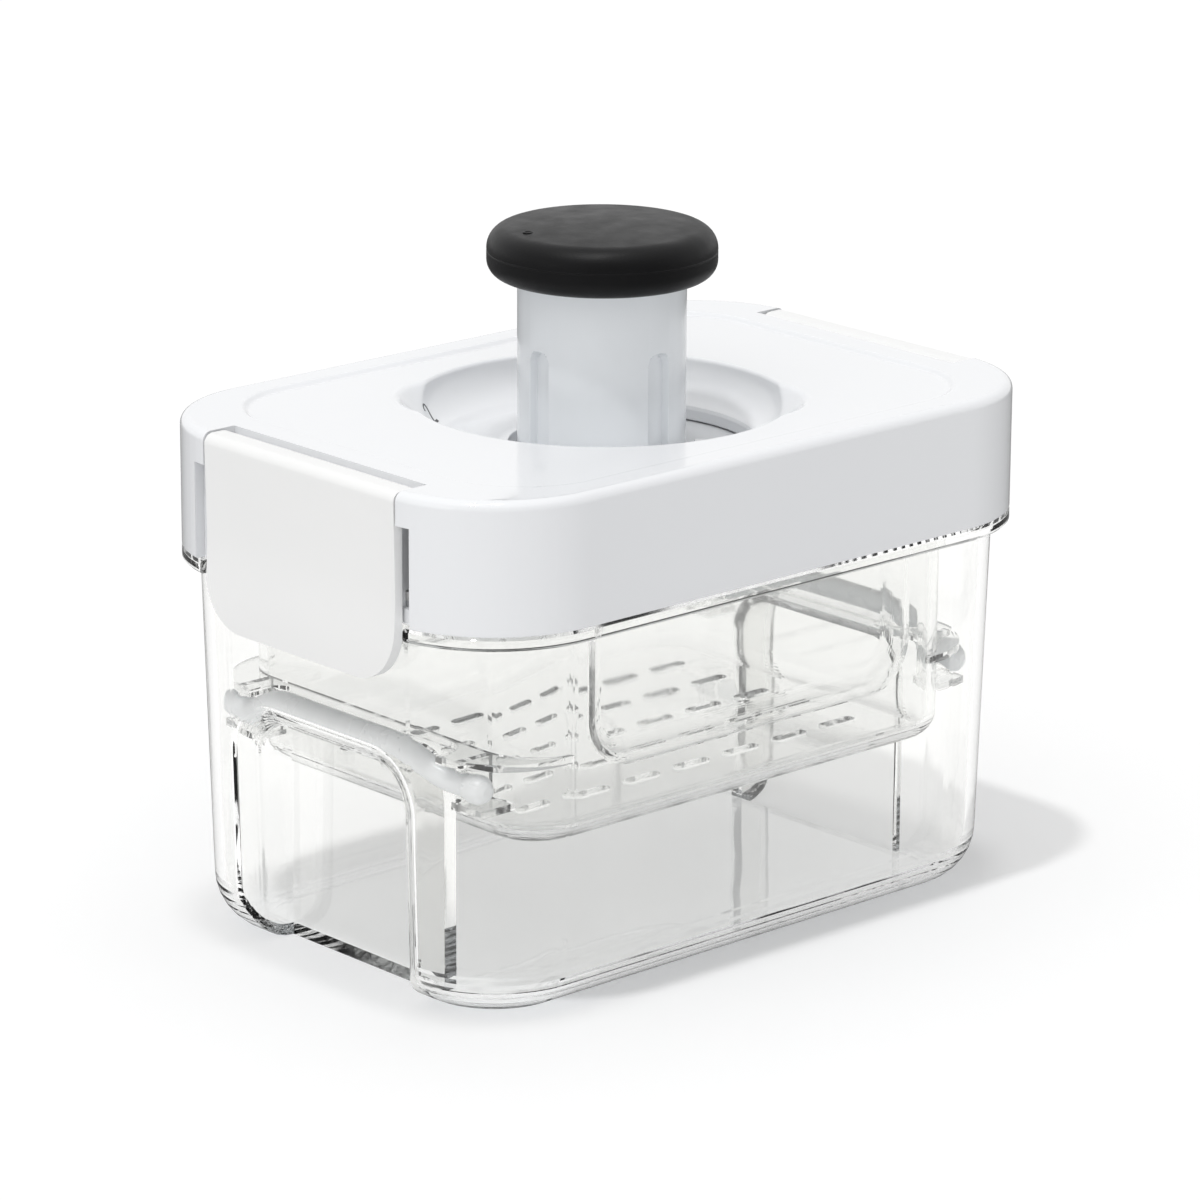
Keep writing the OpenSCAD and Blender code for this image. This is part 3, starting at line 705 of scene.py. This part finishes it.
def buildKnob():
    low = knob["low"]
    high = knob["high"]
    radius = knob["radius"]
    bottom = knob["lowRound"]
    top = knob["topRound"]
    inside = knob["inside"]
    edgeX, edgeZ = knob["lowEdge"]
    profile = [(inside, low + edgeZ), (inside + edgeX, low)]
    profile += arcPoints(radius - bottom, low + bottom, bottom, -90, 0, 10)
    profile += [(radius - depth, knob["partingHeight"] + z) for depth, z in knob["parting"]]
    profile += arcPoints(radius - top, high - top, top, 0, 90, 12)
    flat = radius - top
    for i in range(1, 15):
        r = flat * (1 - i / 14)
        profile.append((r, high + knob["crown"] * (1 - (r / flat) ** 2)))
    profile += [(0, knob["insideTop"]), (inside, knob["insideTop"])]
    grip = turnProfile("knob_cap", profile, 160)
    dress(grip, "softBlack", "plunger", "soft_black", "knob_grip")

    stem = knob["stem"]
    stemLow = knob["stemLow"]
    coreLow = knob["coreLow"]
    coreTop = knob["coreTop"]
    hole = knob["screwHole"]
    edge = knob["coreEdge"]
    reach = inside - knob["coreGap"]
    core = [(hole, stemLow), (stem - edge, stemLow), (stem, stemLow + edge), (stem, coreLow),
            (reach - edge, coreLow), (reach, coreLow + edge), (reach, coreTop - edge),
            (reach - edge, coreTop), (0, coreTop), (0, knob["screwTop"]), (hole, knob["screwTop"])]
    hub = turnProfile("knob_hub", core, 96)
    dress(hub, "columnWhite", "plunger", "column_white", "knob_core")

    dot = knob["dotRadius"]
    reach = knob["dotReach"]
    surface = high + knob["crown"] * (1 - (reach / flat) ** 2)
    rise = knob["dotHeight"]
    sunk = surface - knob["dotSunk"]
    ring = [(0, sunk), (dot, sunk)]
    ring += [(dot * across, surface + rise * up) for across, up in knob["dotShape"]]
    ring += [(dot * 0.5, surface + 0.02), (0, surface)]
    mark = turnProfile("knob_index_dot", ring, 40)
    angle = math.radians(knob["dotAngle"])
    mark.location = Vector((reach * math.cos(angle), reach * math.sin(angle), 0)) * mm
    dress(mark, "softBlack", "plunger", "soft_black")


buildKnob()
print("knob built")

# plunger column: tube with four soft-edged channels that end in arches
column = {
    "radius": 20, "bore": 16.4, "low": 94.5, "high": 154, "webLow": 140.6, "webHigh": 143.2,
    "webHole": 2.3, "channelWidth": 5.6, "channelDepth": 1.8, "channelTop": 138.3, "edge": 0.5,
    "quarters": 4, "channelColumns": (-2.1, -1.2, 0, 1.2, 2.1), "edgeColumns": range(-1, 7),
    "betweenStep": 5.6, "betweenColumns": 11,  # degrees
    "lowRound": (0.3, 0.3, 0.5), "straight": (100, 110, 120, 130), "archStep": 0.16, "archRings": 21,
    "above": 146, "highRound": ((0.15, 0.12), (0.5, 0)), "highStraight": 0.5,
}


# how deep a channel is at a distance from its middle line, at a height
def channelDrop(across, z):
    half = column["channelWidth"] / 2
    arch = column["channelTop"] - half
    if z > arch:
        inside = half - math.hypot(across, z - arch)
    else:
        inside = half - abs(across)
    share = min(max(inside / column["edge"] + 1, 0), 1)
    return column["channelDepth"] * share * share * (3 - 2 * share)


def buildColumn():
    radius = column["radius"]
    half = column["channelWidth"] / 2
    near = [half + column["edge"] * i / 6 for i in column["edgeColumns"]]
    offsets = sorted([-w for w in near] + list(column["channelColumns"]) + near)
    quarterTurn = 360 / column["quarters"]
    count = column["betweenColumns"]
    places = []
    for quarter in range(column["quarters"]):
        for across in offsets:
            places.append((quarterTurn * quarter + math.degrees(across / radius), across))
        for i in range(count):
            angle = quarterTurn / 2 + (i - (count - 1) / 2) * column["betweenStep"]
            places.append((quarterTurn * quarter + angle, math.radians(angle) * radius))
    places.sort()

    low = column["low"]
    high = column["high"]
    arch = column["channelTop"] - half
    firstIn, firstUp, secondUp = column["lowRound"]
    heights = [low + firstUp, low + secondUp, *column["straight"], arch - 1, arch]
    heights += [arch + column["archStep"] * i for i in range(1, column["archRings"] + 1)]
    heights += [column["channelTop"] + 1.2, column["above"], high - column["highStraight"]]
    bore = column["bore"]
    hole = column["webHole"]
    webLow = column["webLow"]
    webHigh = column["webHigh"]
    outer = [(radius - firstIn, low)] + [(radius, z) for z in heights]
    inner = [(radius - inset, high - drop) for inset, drop in column["highRound"]]
    inner += [(bore, high), (bore, webHigh), (hole, webHigh), (hole, webLow), (bore, webLow), (bore, low)]

    def ringAt(r, z, cut):
        ring = []
        for angle, across in places:
            reach = r - cut * channelDrop(across, z)
            turn = math.radians(angle)
            ring.append((reach * math.cos(turn), reach * math.sin(turn), z))
        return ring

    rings = [ringAt(r, z, 1) for r, z in outer] + [ringAt(r, z, 0) for r, z in inner]
    tube = joinRings("plunger_tube", rings, closed=True)
    dress(tube, "columnWhite", "plunger", "column_white", "plunger_column")


buildColumn()
print("column built")

# silicone bands: each is two halves that bend from the container's ledge to the basket's hooks
band = {
    "route": [(81, 0, 61.4), (81, 6, 61.4), (80.9, 12, 61.4), (80.6, 18, 61.3), (80.2, 21.5, 60.8),
              (79.7, 25, 59.6), (79, 28.5, 57.9), (78.2, 31.5, 56.3), (77.4, 34.5, 55.3),
              (76.7, 37.5, 54.9), (76.5, 40, 54.8), (76.5, 41.2, 54.8), (76.5, 42.6, 54.8),
              (76.5, 44.2, 54.8), (76.5, 45.8, 54.8), (76.5, 46.8, 54.8)],
    "bead": [0, 0, 0, 0, 0, 0, 0, 0, 0, 0, 0.05, 0.45, 0.65, 0.6, -0.2, -1.6],
    "radius": 2.75, "sides": 24, "between": 4, "bendFrom": 5, "bendTo": 9, "softAngle": 50,
}


# which way a path runs at one of its points
def pathWay(path, i):
    ahead = path[min(i + 1, len(path) - 1)]
    behind = path[max(i - 1, 0)]
    return (ahead - behind).normalized()


def buildBandHalf(name, endSide, halfSide, replaced):
    route = [Vector((endSide * x, halfSide * y, z)) for x, y, z in band["route"]]
    path = smoothCurve(route, band["between"])
    growth = smoothCurve(band["bead"], band["between"])
    rings = []
    for i, point in enumerate(path):
        along = pathWay(path, i) if i else Vector((0, halfSide, 0))
        across = along.cross(Vector((0, 0, 1))).normalized()
        up = across.cross(along)
        radius = band["radius"] + growth[i]
        rings.append([])
        for k in range(band["sides"]):
            turn = 2 * math.pi * k / band["sides"]
            rings[-1].append(point + (across * math.cos(turn) + up * math.sin(turn)) * radius)
    half = joinRings(name, rings)
    half.data.materials.append(materials["silicone"])
    smoothShade(half, band["softAngle"])
    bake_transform(half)
    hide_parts(replaced)


for endName, endSide in (("left", -1), ("right", 1)):
    for halfName, halfSide in (("front", -1), ("back", 1)):
        buildBandHalf("band_" + endName + "_" + halfName, endSide, halfSide, "silicone_band_" + endName)
print("bands built")

# plain figures on the walls of the two notches: 2 on the left, 1 on the right
figures = {
    "stroke": 0.5, "thick": 0.08, "sunk": -0.3, "lowZ": 116.1, "rise": 0.9, "wide": 0.82,
    "two": {"angle": 125.5, "path": [(-1.35, 2.9), (-1.2, 3.6), (-0.75, 4.15), (0, 4.4), (0.8, 4.15),
                                     (1.25, 3.5), (1.2, 2.75), (0.75, 2.0), (-0.1, 1.1), (-0.9, 0.35),
                                     (-1.35, 0), (0, 0), (1.5, 0)]},
    "one": {"angle": 305.5, "path": [(-0.95, 3.35), (-0.3, 3.85), (0.1, 4.4), (0.1, 2.9), (0.1, 1.4),
                                     (0.1, 0)]},
}


def buildFigure(name, figure):
    angle = math.radians(figure["angle"])
    path = [Vector((*point, 0)) for point in figure["path"]]

    def onWall(u, v, height):
        z = figures["lowZ"] + v * figures["rise"]
        reach = wellReach(angle, z)
        turned = angle - u * figures["wide"] / reach
        reach = wellReach(turned, z) - height
        return (reach * math.cos(turned), reach * math.sin(turned), z)

    sunk = figures["sunk"]
    thick = figures["thick"]
    rings = []
    for i, point in enumerate(path):
        along = pathWay(path, i)
        side = Vector((-along.y, along.x, 0)) * figures["stroke"] / 2
        left = point + side
        right = point - side
        rings.append([onWall(left.x, left.y, sunk), onWall(left.x, left.y, thick),
                      onWall(right.x, right.y, thick), onWall(right.x, right.y, sunk)])
    mark = joinRings(name, rings)
    dress(mark, "markGrey", "container_and_lid", "soft_black")


buildFigure("figure_two", figures["two"])
buildFigure("figure_one", figures["one"])
print("figures built")

# soft studio: a high key sun from the left, a weaker one overhead, a white sweep all round
studio = {
    "keyTravel": (0.317, 0.065, -1), "keyLevel": 0.28, "keyAngle": 3,
    "topTravel": (0.04, 0.05, -1), "topLevel": 0.13, "topAngle": 6,
    # the sky's soft light: even everywhere, and more from above, behind and in front
    "skyBase": 0.16, "skyZenith": 0.62, "skyBack": 0.1, "skyFront": 0.62,
    "zenithFrom": 0.3, "frontWay": (-0.86, -0.51, 0), "frontTo": 0.9,
    "backWay": (0.7, 0.71, 0), "backTo": 0.8,
    # the floor's colour and its own light, which differ by how a ray reaches it
    "floorLevel": 0.8, "floorHalf": 2500, "floorDrop": 0.2,
    "floorForCamera": 0.18, "floorForBounce": 0.26, "floorGlossShare": 0.3, "floorThroughGlass": 0.35,
    "floorDarkFrom": -0.25, "floorDarkTo": -0.7, "floorFar": 0.25,
    # what gloss and clear plastic show of the sky, from behind the camera to in front of it
    "backdropLevels": ((0.0, 0.13), (0.26, 0.26), (0.42, 0.68), (0.7, 1.0)),
    "overheadFrom": 0.55, "overheadTo": 0.8,
    "sideWay": (-0.97, 0.1, 0.22), "sideFrom": 0.9, "sideTo": 0.95, "sideLevel": 0.9,
}
awayWay = (-towardCamera.x, -towardCamera.y, 0)


def addSun(name, travel, level, angle):
    lamp = bpy.data.lights.new(name, "SUN")
    lamp.energy = level * math.pi
    lamp.angle = math.radians(angle)
    sun = bpy.data.objects.new(name, lamp)
    sun.rotation_mode = "QUATERNION"
    sun.rotation_quaternion = Vector(travel).to_track_quat("-Z", "Y")
    scene.collection.objects.link(sun)


# a soft step from one level to another as a value goes through a range
def softStep(tree, value, fromLow, fromHigh, toLow=0.0, toHigh=1.0):
    node = addNode(tree, "MapRange", interpolation_type="SMOOTHSTEP")
    limits = {"From Min": fromLow, "From Max": fromHigh, "To Min": toLow, "To Max": toHigh}
    for key, number in limits.items():
        node.inputs[key].default_value = number
    tree.links.new(value, node.inputs["Value"])
    return node.outputs[0]


# how far a point or a direction lies along a way
def alongShare(tree, vector, way):
    along = addNode(tree, "VectorMath", operation="DOT_PRODUCT")
    along.inputs[1].default_value = Vector(way).normalized()
    tree.links.new(vector, along.inputs[0])
    return along.outputs["Value"]


def makeFloor():
    half = studio["floorHalf"]
    drop = -studio["floorDrop"]
    corners = [(-half, -half, drop), (half, -half, drop), (half, half, drop), (-half, half, drop)]
    floor = newPiece("floor", corners, [(0, 1, 2, 3)])
    material, tree = startMaterial("whiteSweep")
    output = addNode(tree, "OutputMaterial")
    path = addNode(tree, "LightPath").outputs
    bent = addMath(tree, "MAXIMUM", path["Is Glossy Ray"], path["Is Transmission Ray"])
    place = addNode(tree, "TexCoord")
    # in reflections and through clear plastic the floor darkens towards the camera's side
    along = alongShare(tree, place.outputs["Object"], awayWay)
    near = softStep(tree, along, studio["floorDarkTo"], studio["floorDarkFrom"], studio["floorFar"])
    lit = addMath(tree, "MAXIMUM", near, addMath(tree, "SUBTRACT", 1.0, bent))
    # a plain mirror image of the floor is dimmer than the floor
    straight = addMath(tree, "SUBTRACT", 1.0, path["Is Transmission Ray"])
    mirrored = addMath(tree, "MULTIPLY", path["Is Glossy Ray"], straight)
    lost = addMath(tree, "MULTIPLY", mirrored, 1 - studio["floorGlossShare"])
    kept = addMath(tree, "SUBTRACT", lit, addMath(tree, "MULTIPLY", lit, lost))
    level = addMath(tree, "MULTIPLY", kept, studio["floorLevel"])
    matt = addNode(tree, "BsdfDiffuse")
    tree.links.new(level, matt.inputs["Color"])
    seen = addMath(tree, "MULTIPLY", path["Is Camera Ray"], studio["floorForCamera"])
    bounced = addMath(tree, "MULTIPLY", path["Is Diffuse Ray"], studio["floorForBounce"])
    through = addMath(tree, "MULTIPLY", path["Is Transmission Ray"], studio["floorThroughGlass"])
    total = addMath(tree, "ADD", addMath(tree, "ADD", seen, bounced), through)
    glow = addNode(tree, "Emission", Color=(1, 1, 1, 1))
    tree.links.new(addMath(tree, "MULTIPLY", total, lit), glow.inputs["Strength"])
    both = addNode(tree, "AddShader")
    tree.links.new(matt.outputs[0], both.inputs[0])
    tree.links.new(glow.outputs[0], both.inputs[1])
    tree.links.new(both.outputs[0], output.inputs["Surface"])
    floor.data.materials.append(material)


# the sky is white to the camera, uneven for soft light, and dark behind the camera in reflections
def makeSky():
    world = bpy.data.worlds.new("sky")
    scene.world = world
    world.use_nodes = True
    world.cycles.sampling_method = "NONE"
    tree = world.node_tree
    tree.nodes.clear()
    output = addNode(tree, "OutputWorld")
    background = addNode(tree, "Background", Color=(1, 1, 1, 1))
    place = addNode(tree, "TexCoord")
    direction = place.outputs["Generated"]
    parts = addNode(tree, "SeparateXYZ")
    tree.links.new(direction, parts.inputs[0])
    height = parts.outputs["Z"]

    ramp = addNode(tree, "ValToRGB")
    stops = studio["backdropLevels"]
    while len(ramp.color_ramp.elements) < len(stops):
        ramp.color_ramp.elements.new(0.5)
    for element, (position, level) in zip(ramp.color_ramp.elements, stops):
        element.position = position
        element.color = (level, level, level, 1)
    away = alongShare(tree, direction, awayWay)
    tree.links.new(addMath(tree, "MULTIPLY_ADD", away, 0.5, 0.5), ramp.inputs["Fac"])
    overhead = softStep(tree, height, studio["overheadFrom"], studio["overheadTo"])
    sideways = alongShare(tree, direction, studio["sideWay"])
    side = softStep(tree, sideways, studio["sideFrom"], studio["sideTo"], 0.0, studio["sideLevel"])
    backdrop = addMath(tree, "MAXIMUM", ramp.outputs["Color"], overhead)
    mirrored = addMath(tree, "MAXIMUM", backdrop, side)

    zenith = softStep(tree, height, studio["zenithFrom"], 1.0, 0.0, studio["skyZenith"])
    behind = alongShare(tree, direction, studio["backWay"])
    back = softStep(tree, behind, 0.0, studio["backTo"], 0.0, studio["skyBack"])
    before = alongShare(tree, direction, studio["frontWay"])
    front = softStep(tree, before, 0.0, studio["frontTo"], 0.0, studio["skyFront"])
    uneven = addMath(tree, "ADD", zenith, back)
    uneven = addMath(tree, "ADD", uneven, addMath(tree, "ADD", front, studio["skyBase"]))

    path = addNode(tree, "LightPath").outputs
    bent = addMath(tree, "MAXIMUM", path["Is Glossy Ray"], path["Is Transmission Ray"])
    seen = addMath(tree, "MAXIMUM", path["Is Camera Ray"], addMath(tree, "MULTIPLY", bent, mirrored))
    soft = addMath(tree, "MULTIPLY", path["Is Diffuse Ray"], uneven)
    tree.links.new(addMath(tree, "ADD", seen, soft), background.inputs["Strength"])
    tree.links.new(background.outputs[0], output.inputs["Surface"])


addSun("keySun", studio["keyTravel"], studio["keyLevel"], studio["keyAngle"])
addSun("topSun", studio["topTravel"], studio["topLevel"], studio["topAngle"])
makeFloor()
makeSky()
print("studio lit")
